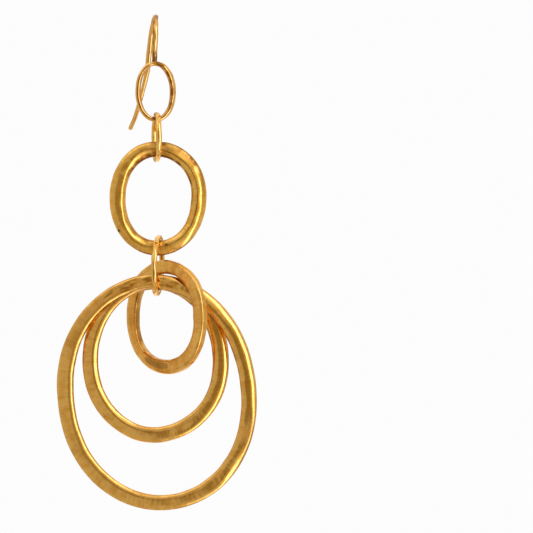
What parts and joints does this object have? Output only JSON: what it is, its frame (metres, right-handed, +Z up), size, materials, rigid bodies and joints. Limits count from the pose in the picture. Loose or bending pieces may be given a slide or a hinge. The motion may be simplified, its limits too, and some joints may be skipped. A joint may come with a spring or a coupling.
{
  "type": "oval hoop earring",
  "caption": "Drop earring on a hook: a small wire oval, a jump ring, an oval link, a second jump ring and nested, interlinked oval hoops, all in gilt metal.",
  "frame": {"origin": "inside top of the hook's arch, where the ear lobe carries the earring", "axes": "+Z up along the drop, -Y towards the viewer in front of the ear, +X to the viewer's right"},
  "size_m": [0.0346, 0.0179, 0.0857],
  "materials": {
    "polished_wire": "bright polished gilt wire with a few dark tarnish spots",
    "polished_link": "softly polished gilt, tarnished brown along the inner edge",
    "satin_hoop": "satin gilt with fine file marks, bright worn edges and brown stains at the seams"
  },
  "bodies": {
    "ear_wire": {"ear_wire": "polished_wire"},
    "upper_jump_ring": {"upper_jump_ring": "polished_wire"},
    "oval_link": {"oval_link": "polished_link"},
    "lower_jump_ring": {"lower_jump_ring": "polished_wire"},
    "large_hoop": {"large_hoop": "satin_hoop"},
    "medium_hoop": {"medium_hoop": "satin_hoop"},
    "small_hoop": {"small_hoop": "satin_hoop"}
  },
  "joints": [
    {"name": "upper_ring_swing", "type": "hinge", "parent": "ear_wire", "child": "upper_jump_ring", "pos_m": [0.00016, -0.0023, -0.01755], "axis": [1, 0, 0], "range_deg": [-60, 60]},
    {"name": "link_swing", "type": "hinge", "parent": "upper_jump_ring", "child": "oval_link", "pos_m": [0.0003, -0.0023, -0.0246], "axis": [0, 1, 0], "range_deg": [-60, 60]},
    {"name": "lower_ring_swing", "type": "hinge", "parent": "oval_link", "child": "lower_jump_ring", "pos_m": [0.0005, -0.0023, -0.03979], "axis": [1, 0, 0], "range_deg": [-60, 60]},
    {"name": "large_hoop_swing", "type": "hinge", "parent": "lower_jump_ring", "child": "large_hoop", "pos_m": [0.0005, -0.0023, -0.04771], "axis": [0.0523, 0.9986, 0], "range_deg": [-20, 20]},
    {"name": "medium_hoop_swing", "type": "hinge", "parent": "large_hoop", "child": "medium_hoop", "pos_m": [0.0003, -0.0023, -0.04771], "axis": [0.0523, 0.9986, 0], "range_deg": [-8, 8]},
    {"name": "small_hoop_swing", "type": "hinge", "parent": "large_hoop", "child": "small_hoop", "pos_m": [0.00208, -0.002, -0.0442], "axis": [0.6884, 0.7254, 0], "range_deg": [-4, 4]}
  ]
}
